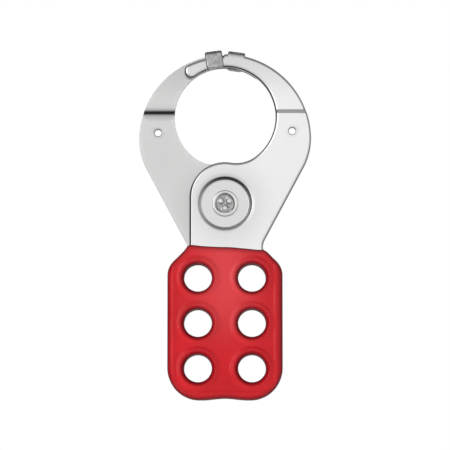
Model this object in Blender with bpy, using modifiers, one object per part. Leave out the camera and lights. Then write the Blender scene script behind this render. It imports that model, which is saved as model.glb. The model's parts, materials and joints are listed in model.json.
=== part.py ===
"""Lockout hasp: two identical steel stampings on one rivet, each with a dip-moulded vinyl grip.

The hasp stands upright and closed, seen from -Y, with its jaws at the top. The origin is the centre
of the round jaw opening, on the plane between the two plates. The front plate carries the right jaw
and its arm crosses to the left at the top. The back plate is the same stamping turned half a turn
about the vertical, so it carries the left jaw. Each jaw steps towards the other plate above the
joggle, and its tab folds over the other jaw's arm.
"""

import math

import bmesh
import bpy
from mathutils import Matrix, Vector

MM = 0.001

# Driving dimensions, in millimetres. Heights are measured from the pivot axis.
JAW_RADIUS = 19.05
JAW_HEIGHT = 33.0
PLATE_THICKNESS = 2.7
PLATE_GAP = 2.8
CLEARANCE = 0.3

RING_CENTRE_HEIGHT = 24.5
RING_RADIUS = 32.5
ARM_INSET = 0.9
ARM_END_ANGLE = 36.0
SIDE_RADIUS = 24.0
FLANK_ANGLE = 28.2
FLANK_DISTANCE = 31.3

HUB_CENTRE_HEIGHT = 2.3
HUB_RADIUS = 13.4
HUB_FILLET = 12.0
NECK_HALF_WIDTH = 14.3
NECK_FILLET = 6.0

JOGGLE_BOTTOM = 34.3
JOGGLE_RUN = 1.45
JOGGLE_STEP = 1.1

HANG_HOLE_X = 25.35
HANG_HOLE_HEIGHT = 27.45
HANG_HOLE_RADIUS = 1.45

TAB_ANGLE = 7.7
TAB_WIDTH = 6.6
TAB_THICKNESS = 1.8
TAB_LENGTH = 7.3
TAB_ROOT_DEPTH = 2.5
# The tab's stem is this much thinner than the plate on each face, so that no faces coincide.
TAB_INSET = 0.05

DISH_DEPTH = 1.25
DISH_FLOOR_RADIUS = 9.2
DISH_WALL_RUN = 1.4
BOSS_SPREAD = 0.4

SHANK_RADIUS = 3.5
BORE_CLEARANCE = 0.1
FRONT_HEAD_RADIUS = 4.9
BACK_HEAD_RADIUS = 5.6
HEAD_HEIGHT = 1.45
HEAD_EDGE = 0.5
DOME_STEPS = 4

BLADE_HALF_WIDTH = 20.4
BLADE_BOTTOM = -72.6
BLADE_CORNER = 10.8
SHOULDER_HEIGHT = -18.5
SHOULDER_FILLET = 6.0

HOLE_X = 10.13
HOLE_HEIGHTS = (-28.0, -45.0, -62.0)
HOLE_RADIUS = 6.4

COAT_THICKNESS = 1.2
COAT_AT_NECK = 0.8
COAT_TOP = -16.6
COAT_TOP_SLOPE = -0.065

# How far cutting and joining solids reach past the surface they work on.
OVERLAP = 1.0

ARC_STEP = 7.5
HOLE_SIDES = 28
HANG_HOLE_SIDES = 20
TURNED_SIDES = 40

PIVOT = Vector((0.0, 0.0, -JAW_HEIGHT * MM))
UPRIGHT = Matrix.Rotation(math.radians(90.0), 4, "X")
HALF_TURN = Matrix.Rotation(math.radians(180.0), 4, "Z")
FRONT_POSE = Matrix.Translation(PIVOT) @ UPRIGHT
# Swings an outline's x axis into depth: x becomes -z and z becomes x.
SIDEWAYS = Matrix.Rotation(math.radians(90.0), 4, "Y")

STEEL = (0.62, 0.62, 0.61, 1.0)
VINYL = (0.62, 0.016, 0.03, 1.0)


# ---------------------------------------------------------------- scene and materials

def clear_scene():
    for item in list(bpy.data.objects):
        bpy.data.objects.remove(item, do_unlink=True)


def new_collection(name):
    group = bpy.data.collections.new(name)
    bpy.context.scene.collection.children.link(group)
    return group


def new_material(name, colour, roughness, metallic):
    material = bpy.data.materials.new(name)
    material.use_nodes = True
    shader = material.node_tree.nodes["Principled BSDF"]
    shader.inputs["Base Color"].default_value = colour
    shader.inputs["Roughness"].default_value = roughness
    shader.inputs["Metallic"].default_value = metallic
    return material


def new_object(name, mesh, matrix, group):
    item = bpy.data.objects.new(name, mesh)
    item.matrix_world = matrix
    group.objects.link(item)
    return item


def mark_as_cutter(item):
    item.hide_render = True
    item.display_type = "WIRE"


# ---------------------------------------------------------------- outlines (x to the right, y up)

def arc(centre, radius, start, end):
    """Points along an arc from angle start to angle end, in degrees, both ends included."""
    count = max(2, math.ceil(abs(end - start) / ARC_STEP))
    points = []
    for i in range(count + 1):
        angle = math.radians(start + (end - start) * i / count)
        points.append((centre[0] + radius * math.cos(angle), centre[1] + radius * math.sin(angle)))
    return points


def circle(centre, radius, sides=HOLE_SIDES):
    points = []
    for i in range(sides):
        angle = 2.0 * math.pi * i / sides
        points.append((centre[0] + radius * math.cos(angle), centre[1] + radius * math.sin(angle)))
    return points


def angle_of(centre, point):
    return math.degrees(math.atan2(point[1] - centre[1], point[0] - centre[0]))


def blade_side(sign, neck_x, grow):
    """One side of the handle blade, from the neck down to the bottom corner, grown outwards."""
    half_width = BLADE_HALF_WIDTH + grow
    fillet = SHOULDER_FILLET + grow
    corner = BLADE_CORNER + grow
    bottom = BLADE_BOTTOM - grow
    # The shoulder runs at 45 degrees, and growing it moves it along its own normal.
    offset = NECK_HALF_WIDTH + SHOULDER_HEIGHT + grow * math.sqrt(2.0)
    shoulder_top = (neck_x, offset - neck_x)
    fillet_centre = (half_width - fillet, offset - (half_width - fillet) - fillet * math.sqrt(2.0))
    corner_centre = (half_width - corner, bottom + corner)
    side = [shoulder_top]
    side += arc(fillet_centre, fillet, 45.0, 0.0)
    side += arc(corner_centre, corner, 0.0, -90.0)
    return [(sign * x, y) for x, y in side]


def plate_outline():
    """The front plate's outline, anticlockwise from the bottom of the blade's left corner."""
    jaw = (0.0, JAW_HEIGHT)
    ring = (0.0, RING_CENTRE_HEIGHT)
    hub = (0.0, HUB_CENTRE_HEIGHT)
    arm_radius = RING_RADIUS - ARM_INSET

    # Right side of the blade, upwards, then the neck and the flank.
    points = list(reversed(blade_side(1.0, NECK_HALF_WIDTH, 0.0)))
    lean = math.radians(FLANK_ANGLE)
    normal = Vector((math.cos(lean), -math.sin(lean)))
    along = Vector((math.sin(lean), math.cos(lean)))
    reach = FLANK_DISTANCE + NECK_FILLET
    neck_x = NECK_HALF_WIDTH + NECK_FILLET
    neck_height = RING_CENTRE_HEIGHT - (reach - normal.x * neck_x) / -normal.y
    points += arc((neck_x, neck_height), NECK_FILLET, 180.0, 180.0 - FLANK_ANGLE)

    # Side arc, tangent to the flank and to the ring.
    inward = FLANK_DISTANCE - SIDE_RADIUS
    upward = math.sqrt((RING_RADIUS - SIDE_RADIUS) ** 2 - inward ** 2)
    side = Vector(ring) + normal * inward + along * upward
    ring_start = angle_of(ring, side)
    points += arc(side, SIDE_RADIUS, -FLANK_ANGLE, ring_start)
    points += arc(ring, RING_RADIUS, ring_start + ARC_STEP / 2.0, 90.0)

    # The arm is set in a little from the ring, and ends in a round tip left of the centre.
    end = math.radians(90.0 + ARM_END_ANGLE)
    step = Vector((math.cos(end), math.sin(end)))
    inner = Vector(jaw) + step * JAW_RADIUS
    rise = (JAW_HEIGHT - RING_CENTRE_HEIGHT) * step.y
    spread = (JAW_HEIGHT - RING_CENTRE_HEIGHT) * step.x
    outer = Vector(jaw) + step * (math.sqrt(arm_radius ** 2 - spread ** 2) - rise)
    tip = (inner + outer) / 2.0
    tip_radius = (outer - inner).length / 2.0
    points += arc(ring, arm_radius, 91.0, angle_of(ring, outer))
    points += arc(tip, tip_radius, 90.0 + ARM_END_ANGLE, 270.0 + ARM_END_ANGLE)[1:-1]

    # Down the jaw opening, over the hub and down the hub's free side.
    fillet_height = hub_fillet_height()
    fillet_x = math.sqrt((JAW_RADIUS - HUB_FILLET) ** 2 - (fillet_height - JAW_HEIGHT) ** 2)
    fillet = (fillet_x, fillet_height)
    points += arc(jaw, JAW_RADIUS, 90.0 + ARM_END_ANGLE, angle_of(jaw, fillet))
    points += arc(fillet, HUB_FILLET, angle_of(jaw, fillet), angle_of(fillet, hub))[1:]
    points += arc(hub, HUB_RADIUS, angle_of(hub, fillet), 180.0)[1:]
    points += blade_side(-1.0, HUB_RADIUS, 0.0)
    return points


def hub_fillet_height():
    """Height of the centre of the fillet that is tangent to the hub arc and to the jaw opening."""
    to_hub = (HUB_RADIUS + HUB_FILLET) ** 2
    to_jaw = (JAW_RADIUS - HUB_FILLET) ** 2
    squares = JAW_HEIGHT ** 2 - HUB_CENTRE_HEIGHT ** 2
    return (to_hub - to_jaw + squares) / (2.0 * (JAW_HEIGHT - HUB_CENTRE_HEIGHT))


def coat_outline(grow, neck_grow, raise_top):
    """The vinyl coat's outline round the blade, with its top edge sloping across the neck."""
    right_x = NECK_HALF_WIDTH + neck_grow
    left_x = HUB_RADIUS + neck_grow
    points = [(-left_x, COAT_TOP - COAT_TOP_SLOPE * left_x + raise_top)]
    points += blade_side(-1.0, left_x, grow)
    points += reversed(blade_side(1.0, right_x, grow))
    points += [(right_x, COAT_TOP + COAT_TOP_SLOPE * right_x + raise_top)]
    return points


def padlock_holes(radius):
    return [circle((sign * HOLE_X, height), radius) for sign in (-1.0, 1.0) for height in HOLE_HEIGHTS]


# ---------------------------------------------------------------- solids from outlines and profiles

def slab(name, outlines, thickness, matrix, group):
    """A flat solid from closed outlines, the first one outside and the rest holes."""
    curve = bpy.data.curves.new(name, "CURVE")
    curve.dimensions = "2D"
    curve.fill_mode = "BOTH"
    curve.extrude = thickness * MM / 2.0
    for outline in outlines:
        spline = curve.splines.new("POLY")
        spline.points.add(len(outline) - 1)
        for point, (x, y) in zip(spline.points, outline):
            point.co = (x * MM, y * MM, 0.0, 1.0)
        spline.use_cyclic_u = True
    guide = new_object(name + "_curve", curve, matrix, group)
    bpy.context.view_layer.update()
    seen = guide.evaluated_get(bpy.context.evaluated_depsgraph_get())
    mesh = bpy.data.meshes.new_from_object(seen)
    weld(mesh)
    item = new_object(name, mesh, guide.matrix_world.copy(), group)
    bpy.data.objects.remove(guide, do_unlink=True)
    return item


def weld(mesh):
    work = bmesh.new()
    work.from_mesh(mesh)
    bmesh.ops.remove_doubles(work, verts=work.verts, dist=0.000001)
    bmesh.ops.recalc_face_normals(work, faces=work.faces)
    work.to_mesh(mesh)
    work.free()


def turned(name, profile, matrix, group):
    """A turned solid: (radius, height) points down the outer side, from the top to the bottom."""
    mesh = bpy.data.meshes.new(name)
    points = [(radius * MM, 0.0, height * MM) for radius, height in profile]
    mesh.from_pydata(points, [(i, i + 1) for i in range(len(points) - 1)], [])
    item = new_object(name, mesh, matrix, group)
    screw = item.modifiers.new("turn", "SCREW")
    screw.steps = TURNED_SIDES
    screw.render_steps = TURNED_SIDES
    screw.use_merge_vertices = True
    screw.merge_threshold = 0.00001
    return item


def boolean(item, other, operation):
    step = item.modifiers.new(other.name, "BOOLEAN")
    step.operation = operation
    step.object = other
    mark_as_cutter(other)


def apply_modifiers(item):
    bpy.context.view_layer.update()
    seen = item.evaluated_get(bpy.context.evaluated_depsgraph_get())
    mesh = bpy.data.meshes.new_from_object(seen)
    item.modifiers.clear()
    item.data = mesh


def finish_mesh(item, name, material):
    item.name = name
    item.data.name = name
    item.data.materials.clear()
    item.data.materials.append(material)
    item.data.shade_smooth()
    item.data.set_sharp_from_angle(angle=math.radians(30.0))


# ---------------------------------------------------------------- steel plate

def bend_joggle(item):
    """Steps the plate towards the other one above the joggle line, along two crease lines."""
    work = bmesh.new()
    work.from_mesh(item.data)
    for height in (JOGGLE_BOTTOM, JOGGLE_BOTTOM + JOGGLE_RUN):
        everything = work.verts[:] + work.edges[:] + work.faces[:]
        bmesh.ops.bisect_plane(
            work, geom=everything, dist=0.0000001,
            plane_co=(0.0, height * MM, 0.0), plane_no=(0.0, 1.0, 0.0),
        )
    for vert in work.verts:
        share = (vert.co.y / MM - JOGGLE_BOTTOM) / JOGGLE_RUN
        vert.co.z -= JOGGLE_STEP * MM * min(1.0, max(0.0, share))
    work.to_mesh(item.data)
    work.free()


def tab_profile():
    """Side view of the folded tab: x is the depth towards the other plate, y the radius."""
    near = -PLATE_GAP / 2.0 + JOGGLE_STEP - PLATE_THICKNESS + TAB_INSET
    far = near + PLATE_THICKNESS - 2.0 * TAB_INSET
    lip = PLATE_GAP / 2.0 - JOGGLE_STEP + PLATE_THICKNESS + CLEARANCE
    under = RING_RADIUS - ARM_INSET + CLEARANCE
    top = under + TAB_THICKNESS
    foot = top - TAB_LENGTH
    root = RING_RADIUS - TAB_ROOT_DEPTH
    bend = TAB_THICKNESS * 0.9
    points = [(near, root), (far, root), (far, under), (lip, under), (lip, foot)]
    points += [(lip + TAB_THICKNESS, foot)]
    points += arc((lip + TAB_THICKNESS - bend, top - bend), bend, 0.0, 90.0)
    points += arc((near + bend, top - bend), bend, 90.0, 180.0)
    return points


def build_plate(cutters):
    """One stamping in the front plate's place, as a finished mesh object."""
    middle = Matrix.Translation((0.0, -(PLATE_GAP + PLATE_THICKNESS) * MM / 2.0, 0.0)) @ FRONT_POSE
    hang_hole = circle((HANG_HOLE_X, HANG_HOLE_HEIGHT), HANG_HOLE_RADIUS, HANG_HOLE_SIDES)
    outlines = [plate_outline()] + padlock_holes(HOLE_RADIUS) + [hang_hole]
    plate = slab("plate_blank", outlines, PLATE_THICKNESS, middle, cutters)
    bend_joggle(plate)

    # The tab is extruded along the tangent of the ring, at its own angle from the vertical.
    turn = Matrix.Rotation(math.radians(-TAB_ANGLE), 4, "Z")
    ring = Matrix.Translation((0.0, RING_CENTRE_HEIGHT * MM, 0.0))
    tab = slab("tab", [tab_profile()], TAB_WIDTH, FRONT_POSE @ ring @ turn @ SIDEWAYS, cutters)
    boolean(plate, tab, "UNION")

    # The pivot dish: a boss on the inner face, a recess in the outer face and the rivet's bore.
    inner = -PLATE_GAP / 2.0
    outer = inner - PLATE_THICKNESS
    rim = DISH_FLOOR_RADIUS + DISH_WALL_RUN
    boss_profile = [(0.0, OVERLAP), (rim + BOSS_SPREAD, OVERLAP), (rim + BOSS_SPREAD, 0.0)]
    boss_profile += [(DISH_FLOOR_RADIUS + BOSS_SPREAD, -DISH_DEPTH), (0.0, -DISH_DEPTH)]
    boss = turned("boss", boss_profile, depth_pose(inner), cutters)
    boolean(plate, boss, "UNION")
    flare = OVERLAP * DISH_WALL_RUN / DISH_DEPTH
    recess_profile = [(0.0, OVERLAP), (rim + flare, OVERLAP)]
    recess_profile += [(DISH_FLOOR_RADIUS, -DISH_DEPTH), (0.0, -DISH_DEPTH)]
    recess = turned("recess", recess_profile, depth_pose(outer), cutters)
    boolean(plate, recess, "DIFFERENCE")
    bore_radius = SHANK_RADIUS + BORE_CLEARANCE
    through = PLATE_THICKNESS + DISH_DEPTH + OVERLAP
    bore_profile = [(0.0, OVERLAP), (bore_radius, OVERLAP), (bore_radius, -through), (0.0, -through)]
    bore = turned("bore", bore_profile, depth_pose(outer), cutters)
    boolean(plate, bore, "DIFFERENCE")
    apply_modifiers(plate)
    return plate


def depth_pose(depth):
    """A pose on the pivot axis whose own +Z points to the front, at a depth along +Y."""
    return Matrix.Translation((0.0, depth * MM, 0.0)) @ FRONT_POSE


# ---------------------------------------------------------------- vinyl grip and rivet

def build_grip(cutters):
    """The vinyl jacket round one blade, open at the neck, with a sleeve through each hole."""
    middle = Matrix.Translation((0.0, -(PLATE_GAP + PLATE_THICKNESS) * MM / 2.0, 0.0)) @ FRONT_POSE
    outside = [coat_outline(COAT_THICKNESS, COAT_AT_NECK, 0.0)]
    outside += padlock_holes(HOLE_RADIUS - COAT_THICKNESS)
    inside = [coat_outline(CLEARANCE, CLEARANCE, OVERLAP)]
    inside += padlock_holes(HOLE_RADIUS - CLEARANCE)
    grip = slab("grip_blank", outside, PLATE_THICKNESS + 2.0 * COAT_THICKNESS, middle, cutters)
    pocket = slab("grip_pocket", inside, PLATE_THICKNESS + 2.0 * CLEARANCE, middle, cutters)
    boolean(grip, pocket, "DIFFERENCE")
    apply_modifiers(grip)
    return grip


def build_rivet(group):
    """The rivet: a flat formed head with a punched recess in front, a domed head behind."""
    half_stack = PLATE_GAP / 2.0 + PLATE_THICKNESS - DISH_DEPTH + BORE_CLEARANCE
    front = half_stack + HEAD_HEIGHT
    profile = [(0.0, front - 0.9), (1.6, front - 0.8), (3.0, front - 0.1), (3.6, front)]
    profile += [(FRONT_HEAD_RADIUS - 0.4, front - 0.1), (FRONT_HEAD_RADIUS, front - HEAD_EDGE)]
    profile += [(FRONT_HEAD_RADIUS, half_stack), (SHANK_RADIUS, half_stack)]
    profile += [(SHANK_RADIUS, -half_stack), (BACK_HEAD_RADIUS, -half_stack)]
    dome_foot = -half_stack - HEAD_EDGE
    for i in range(DOME_STEPS):
        lean = math.radians(90.0 * i / DOME_STEPS)
        rise = (HEAD_HEIGHT - HEAD_EDGE) * math.sin(lean)
        profile += [(BACK_HEAD_RADIUS * math.cos(lean), dome_foot - rise)]
    profile += [(0.0, -half_stack - HEAD_HEIGHT)]
    return turned("pivot_rivet", profile, FRONT_POSE, group)


def hang_from_pivot(item, name, group):
    """Parents an object to an empty on the joint's axis, keeping its place."""
    empty = bpy.data.objects.get(name)
    if empty is None:
        empty = bpy.data.objects.new(name, None)
        empty.location = PIVOT
        empty.empty_display_size = 0.01
        group.objects.link(empty)
        bpy.context.view_layer.update()
    item.parent = empty
    item.matrix_parent_inverse = empty.matrix_world.inverted()


def copy_behind(item, name, group):
    """The same piece, turned half a turn about the vertical through the pivot."""
    spin = Matrix.Translation(PIVOT) @ HALF_TURN @ Matrix.Translation(-PIVOT)
    return new_object(name, item.data.copy(), spin @ item.matrix_world, group)


def main():
    clear_scene()
    parts = new_collection("lockout_hasp")
    cutters = new_collection("cutters")

    front_plate = build_plate(cutters)
    front_grip = build_grip(cutters)
    bpy.context.view_layer.update()
    for item in (front_plate, front_grip):
        cutters.objects.unlink(item)
        parts.objects.link(item)
    back_plate = copy_behind(front_plate, "back_plate", parts)
    back_grip = copy_behind(front_grip, "back_grip", parts)
    rivet = build_rivet(parts)

    finish_mesh(front_plate, "front_plate", new_material("front_plate_steel", STEEL, 0.32, 1.0))
    finish_mesh(back_plate, "back_plate", new_material("back_plate_steel", STEEL, 0.32, 1.0))
    finish_mesh(front_grip, "front_grip", new_material("front_grip_vinyl", VINYL, 0.28, 0.0))
    finish_mesh(back_grip, "back_grip", new_material("back_grip_vinyl", VINYL, 0.28, 0.0))
    finish_mesh(rivet, "pivot_rivet", new_material("rivet_steel", STEEL, 0.25, 1.0))

    for item in (front_plate, front_grip):
        hang_from_pivot(item, "front_half_pivot", parts)
    for item in (back_plate, back_grip):
        hang_from_pivot(item, "back_half_pivot", parts)


main()
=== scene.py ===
"""Looks of the lockout hasp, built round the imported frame.

Five pieces replace the five CAD nodes: two pressed steel halves, two dip-moulded vinyl grips and
the rivet. Each half is made once, in its own frame, and the rear one is the same mesh turned half
a turn. In that frame x is to the right, y is the height above the pivot and z is the depth towards
the viewer, measured from the plane between the halves. All its lengths are in millimetres.
"""

import json
import math

import bpy
import numpy as np
from mathutils import Matrix, Vector, geometry, kdtree


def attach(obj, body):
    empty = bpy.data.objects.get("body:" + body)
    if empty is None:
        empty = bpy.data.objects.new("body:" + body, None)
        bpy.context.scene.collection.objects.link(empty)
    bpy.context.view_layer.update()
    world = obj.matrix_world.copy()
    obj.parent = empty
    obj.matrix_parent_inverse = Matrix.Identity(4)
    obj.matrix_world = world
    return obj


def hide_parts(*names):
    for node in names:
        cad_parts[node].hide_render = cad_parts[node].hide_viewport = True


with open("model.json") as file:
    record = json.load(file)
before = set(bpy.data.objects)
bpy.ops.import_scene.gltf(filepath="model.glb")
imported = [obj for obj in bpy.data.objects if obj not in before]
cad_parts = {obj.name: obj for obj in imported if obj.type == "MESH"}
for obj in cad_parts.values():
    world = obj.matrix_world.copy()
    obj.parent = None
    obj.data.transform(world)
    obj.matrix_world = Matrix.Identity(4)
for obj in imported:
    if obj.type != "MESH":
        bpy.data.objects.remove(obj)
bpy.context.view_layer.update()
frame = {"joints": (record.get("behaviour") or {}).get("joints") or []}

MM = 0.001

JAW_RADIUS = 19.05
JAW_HEIGHT = 33.0
PLATE_THICKNESS = 2.7
PLATE_GAP = 2.8
CLEARANCE = 0.3
OUTER_FACE = PLATE_GAP / 2.0 + PLATE_THICKNESS
MATING_FACE = PLATE_GAP / 2.0
MIDDLE = (MATING_FACE + OUTER_FACE) / 2.0

RING_CENTRE_HEIGHT = 24.5
RING_RADIUS = 32.5
ARM_INSET = 0.9
ARM_END_ANGLE = 36.0
SIDE_RADIUS = 24.0
FLANK_ANGLE = 28.2
FLANK_DISTANCE = 31.3

HUB_CENTRE_HEIGHT = 2.3
HUB_RADIUS = 13.4
HUB_FILLET = 12.0
NECK_HALF_WIDTH = 14.3
NECK_FILLET = 6.0

JOGGLE_BOTTOM = 34.3
JOGGLE_RUN = 1.45
JOGGLE_TOP = JOGGLE_BOTTOM + JOGGLE_RUN
JOGGLE_STEP = 1.1
JOGGLE_BEND = 0.22

HANG_HOLE = (25.35, 27.45)
HANG_HOLE_RADIUS = 1.3

TAB_ANGLE = 7.7
TAB_WIDTH = 6.6
TAB_THICKNESS = 1.8
TAB_LENGTH = 6.6
TAB_ROOT_DEPTH = 2.5
TAB_INSET = 0.05
TAB_CORNER = 1.3
TAB_LIP = OUTER_FACE - JOGGLE_STEP + CLEARANCE

DISH_DEPTH = 1.25
DISH_FLOOR_RADIUS = 8.95
DISH_WALL_TOP = 10.25
DISH_WALL_SHARE = 0.86
DISH_SHOULDER_START = 10.4
DISH_SHOULDER_END = 11.4
BORE_RADIUS = 3.6

BLADE_HALF_WIDTH = 20.4
BLADE_BOTTOM = -72.6
BLADE_CORNER = 10.8
SHOULDER_HEIGHT = -18.5
SHOULDER_FILLET = 6.0
HOLE_X = 10.13
HOLE_HEIGHTS = (-28.0, -45.0, -62.0)
HOLE_CENTRES = [(sign * HOLE_X, height) for sign in (-1.0, 1.0) for height in HOLE_HEIGHTS]
HOLE_RADIUS = 6.4

COAT_THICKNESS = 1.2
COAT_AT_NECK = 0.8
COAT_TOP = -16.6
COAT_TOP_SLOPE = -0.065
COAT_TOP_EDGE = 0.36
COAT_BETWEEN_HOLES = 0.54
LIP_HEIGHT = 0.64
LIP_RADIUS = 6.9
RIM_SHARE = 0.6
RIM_INSET = 2.3
BOTTOM_DIP = 0.62
BOTTOM_DIP_REACH = 8.5
POCKET_FIT = 0.03

SHANK_RADIUS = 3.5
FRONT_HEAD_RADIUS = 5.0
BACK_HEAD_RADIUS = 5.6
BACK_HEAD_RIM = 0.35
HEAD_HEIGHT = 1.45
HEAD_SEAT = OUTER_FACE - DISH_DEPTH + 0.1
HEAD_TOP = HEAD_SEAT + HEAD_HEIGHT
HEAD_ROUNDING = 0.6
HEAD_CROWN = 0.02
PUNCHED_RINGS = 30
PUNCHED_REACH = 4.05
PUNCH_RADIUS = 3.75
PUNCH_LOBE = 0.15
PUNCH_DEPTH = 0.85
GROOVE_DEPTH = 0.22
BOSS_HEIGHT = 0.5
RIVET_SIDES = 120

PIVOT = Vector(frame["joints"][0]["pos_m"])
UPRIGHT = Matrix.Rotation(math.radians(90.0), 4, "X")
HALF_TURN = Matrix.Rotation(math.radians(180.0), 4, "Z")
TO_METRES = Matrix.Scale(MM, 4)
FRONT_POSE = Matrix.Translation(PIVOT) @ UPRIGHT @ TO_METRES
BACK_POSE = Matrix.Translation(PIVOT) @ HALF_TURN @ UPRIGHT @ TO_METRES


# ---------------------------------------------------------------- outlines

def arc(centre, radius, start, end, spacing=0.6):
    """Points along an arc from angle start to angle end, in degrees, both ends included."""
    length = math.radians(abs(end - start)) * radius
    count = max(3, math.ceil(length / spacing), math.ceil(abs(end - start) / 9.0))
    points = []
    for i in range(count + 1):
        angle = math.radians(start + (end - start) * i / count)
        points.append((centre[0] + radius * math.cos(angle), centre[1] + radius * math.sin(angle)))
    return points


def circle(centre, radius, sides):
    angles = np.arange(sides) * 2.0 * math.pi / sides
    return np.column_stack((centre[0] + radius * np.cos(angles), centre[1] + radius * np.sin(angles)))


def angle_of(centre, point):
    return math.degrees(math.atan2(point[1] - centre[1], point[0] - centre[0]))


def blade_side(sign, neck_x, grow):
    """One side of the handle blade, from the neck down to the bottom corner, grown outwards."""
    half_width = BLADE_HALF_WIDTH + grow
    fillet = SHOULDER_FILLET + grow
    corner = BLADE_CORNER + grow
    bottom = BLADE_BOTTOM - grow
    offset = NECK_HALF_WIDTH + SHOULDER_HEIGHT + grow * math.sqrt(2.0)
    fillet_centre = (half_width - fillet, offset - (half_width - fillet) - fillet * math.sqrt(2.0))
    corner_centre = (half_width - corner, bottom + corner)
    side = [(neck_x, offset - neck_x)]
    side += arc(fillet_centre, fillet, 45.0, 0.0)
    side += arc(corner_centre, corner, 0.0, -90.0)
    return [(sign * x, y) for x, y in side]


def flank():
    """The right side above the grip, from the neck's fillet up to the start of the ring, and its angle."""
    ring = Vector((0.0, RING_CENTRE_HEIGHT))
    lean = math.radians(FLANK_ANGLE)
    normal = Vector((math.cos(lean), -math.sin(lean)))
    along = Vector((math.sin(lean), math.cos(lean)))
    reach = FLANK_DISTANCE + NECK_FILLET
    neck_x = NECK_HALF_WIDTH + NECK_FILLET
    neck_height = RING_CENTRE_HEIGHT - (reach - normal.x * neck_x) / -normal.y
    points = arc((neck_x, neck_height), NECK_FILLET, 180.0, 180.0 - FLANK_ANGLE)
    across = FLANK_DISTANCE - SIDE_RADIUS
    upward = math.sqrt((RING_RADIUS - SIDE_RADIUS) ** 2 - across ** 2)
    side = ring + normal * across + along * upward
    ring_start = angle_of(ring, side)
    points += arc(side, SIDE_RADIUS, -FLANK_ANGLE, ring_start)
    return points, ring_start


def arm_end():
    """The outer edge of the overlapping arm and its round end."""
    ring = (0.0, RING_CENTRE_HEIGHT)
    arm_radius = RING_RADIUS - ARM_INSET
    end = math.radians(90.0 + ARM_END_ANGLE)
    step = Vector((math.cos(end), math.sin(end)))
    jaw = Vector((0.0, JAW_HEIGHT))
    lift = (JAW_HEIGHT - RING_CENTRE_HEIGHT) * step.y
    spread = (JAW_HEIGHT - RING_CENTRE_HEIGHT) * step.x
    inner = jaw + step * JAW_RADIUS
    outer = jaw + step * (math.sqrt(arm_radius ** 2 - spread ** 2) - lift)
    tip = (inner + outer) / 2.0
    points = arc(ring, arm_radius, 92.0, angle_of(ring, outer))
    points += arc(tip, (outer - inner).length / 2.0, 90.0 + ARM_END_ANGLE, 270.0 + ARM_END_ANGLE)[1:-1]
    return points


def hub_fillet_height():
    """Height of the centre of the fillet that is tangent to the hub arc and to the jaw opening."""
    to_hub = (HUB_RADIUS + HUB_FILLET) ** 2
    to_jaw = (JAW_RADIUS - HUB_FILLET) ** 2
    squares = JAW_HEIGHT ** 2 - HUB_CENTRE_HEIGHT ** 2
    return (to_hub - to_jaw + squares) / (2.0 * (JAW_HEIGHT - HUB_CENTRE_HEIGHT))


def plate_outline():
    """The front plate's outline, anticlockwise from the bottom of the blade's right corner."""
    jaw = (0.0, JAW_HEIGHT)
    hub = (0.0, HUB_CENTRE_HEIGHT)
    fillet_height = hub_fillet_height()
    fillet_x = math.sqrt((JAW_RADIUS - HUB_FILLET) ** 2 - (fillet_height - JAW_HEIGHT) ** 2)
    fillet = (fillet_x, fillet_height)

    points = list(reversed(blade_side(1.0, NECK_HALF_WIDTH, 0.0)))
    side, ring_start = flank()
    points += side
    points += arc((0.0, RING_CENTRE_HEIGHT), RING_RADIUS, ring_start + 1.0, 90.0)
    points += arm_end()
    points += arc(jaw, JAW_RADIUS, 90.0 + ARM_END_ANGLE, angle_of(jaw, fillet))
    points += arc(fillet, HUB_FILLET, angle_of(jaw, fillet), angle_of(fillet, hub))[1:]
    points += arc(hub, HUB_RADIUS, angle_of(hub, fillet), 180.0)[1:]
    points += blade_side(-1.0, HUB_RADIUS, 0.0)
    return points


def coat_top(x):
    return COAT_TOP + COAT_TOP_SLOPE * x


def coat_outline(grow, neck_grow, raise_top):
    """The vinyl coat's outline round the blade, with its top edge sloping across the neck."""
    right_x = NECK_HALF_WIDTH + neck_grow
    left_x = HUB_RADIUS + neck_grow
    points = [(-left_x, coat_top(-left_x) + raise_top)]
    points += blade_side(-1.0, left_x, grow)
    points += reversed(blade_side(1.0, right_x, grow))
    points += [(right_x, coat_top(right_x) + raise_top)]
    return points


def dense(points, spacing):
    """The closed outline with extra points, so that none of its steps is longer than spacing(y)."""
    filled = []
    for i, start in enumerate(points):
        end = points[(i + 1) % len(points)]
        length = math.dist(start, end)
        if length < 1e-6:
            continue
        count = max(1, math.ceil(length / spacing(0.5 * (start[1] + end[1]))))
        for k in range(count):
            share = k / count
            filled.append((start[0] + (end[0] - start[0]) * share, start[1] + (end[1] - start[1]) * share))
    return np.array(filled)


def turned_to(points, anticlockwise):
    """The closed loop of points in the asked direction of travel."""
    x, y = points[:, 0], points[:, 1]
    area = np.sum(x * np.roll(y, -1) - np.roll(x, -1) * y)
    return points if (area > 0.0) == anticlockwise else points[::-1]


def hole_loop(centre, radius, sides, front, back):
    """A round hole through a skin, with its front and back edges."""
    return {"points": turned_to(circle(centre, radius, sides), False), "front": front, "back": back}


def padlock_holes(radius, sides, front, back):
    """The blade's six holes for padlock shackles, at the given radius."""
    return [hole_loop(centre, radius, sides, front, back) for centre in HOLE_CENTRES]


# ---------------------------------------------------------------- solids with rounded edges

def inward(points):
    """How each point of a loop moves for a unit offset into the material, which is on its left."""
    before = points - np.roll(points, 1, axis=0)
    after = np.roll(points, -1, axis=0) - points
    before = before / np.linalg.norm(before, axis=1)[:, None]
    after = after / np.linalg.norm(after, axis=1)[:, None]
    n1 = np.column_stack((-before[:, 1], before[:, 0]))
    n2 = np.column_stack((-after[:, 1], after[:, 0]))
    scale = np.maximum(0.6, 1.0 + np.sum(n1 * n2, axis=1))
    return (n1 + n2) / scale[:, None]


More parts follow.
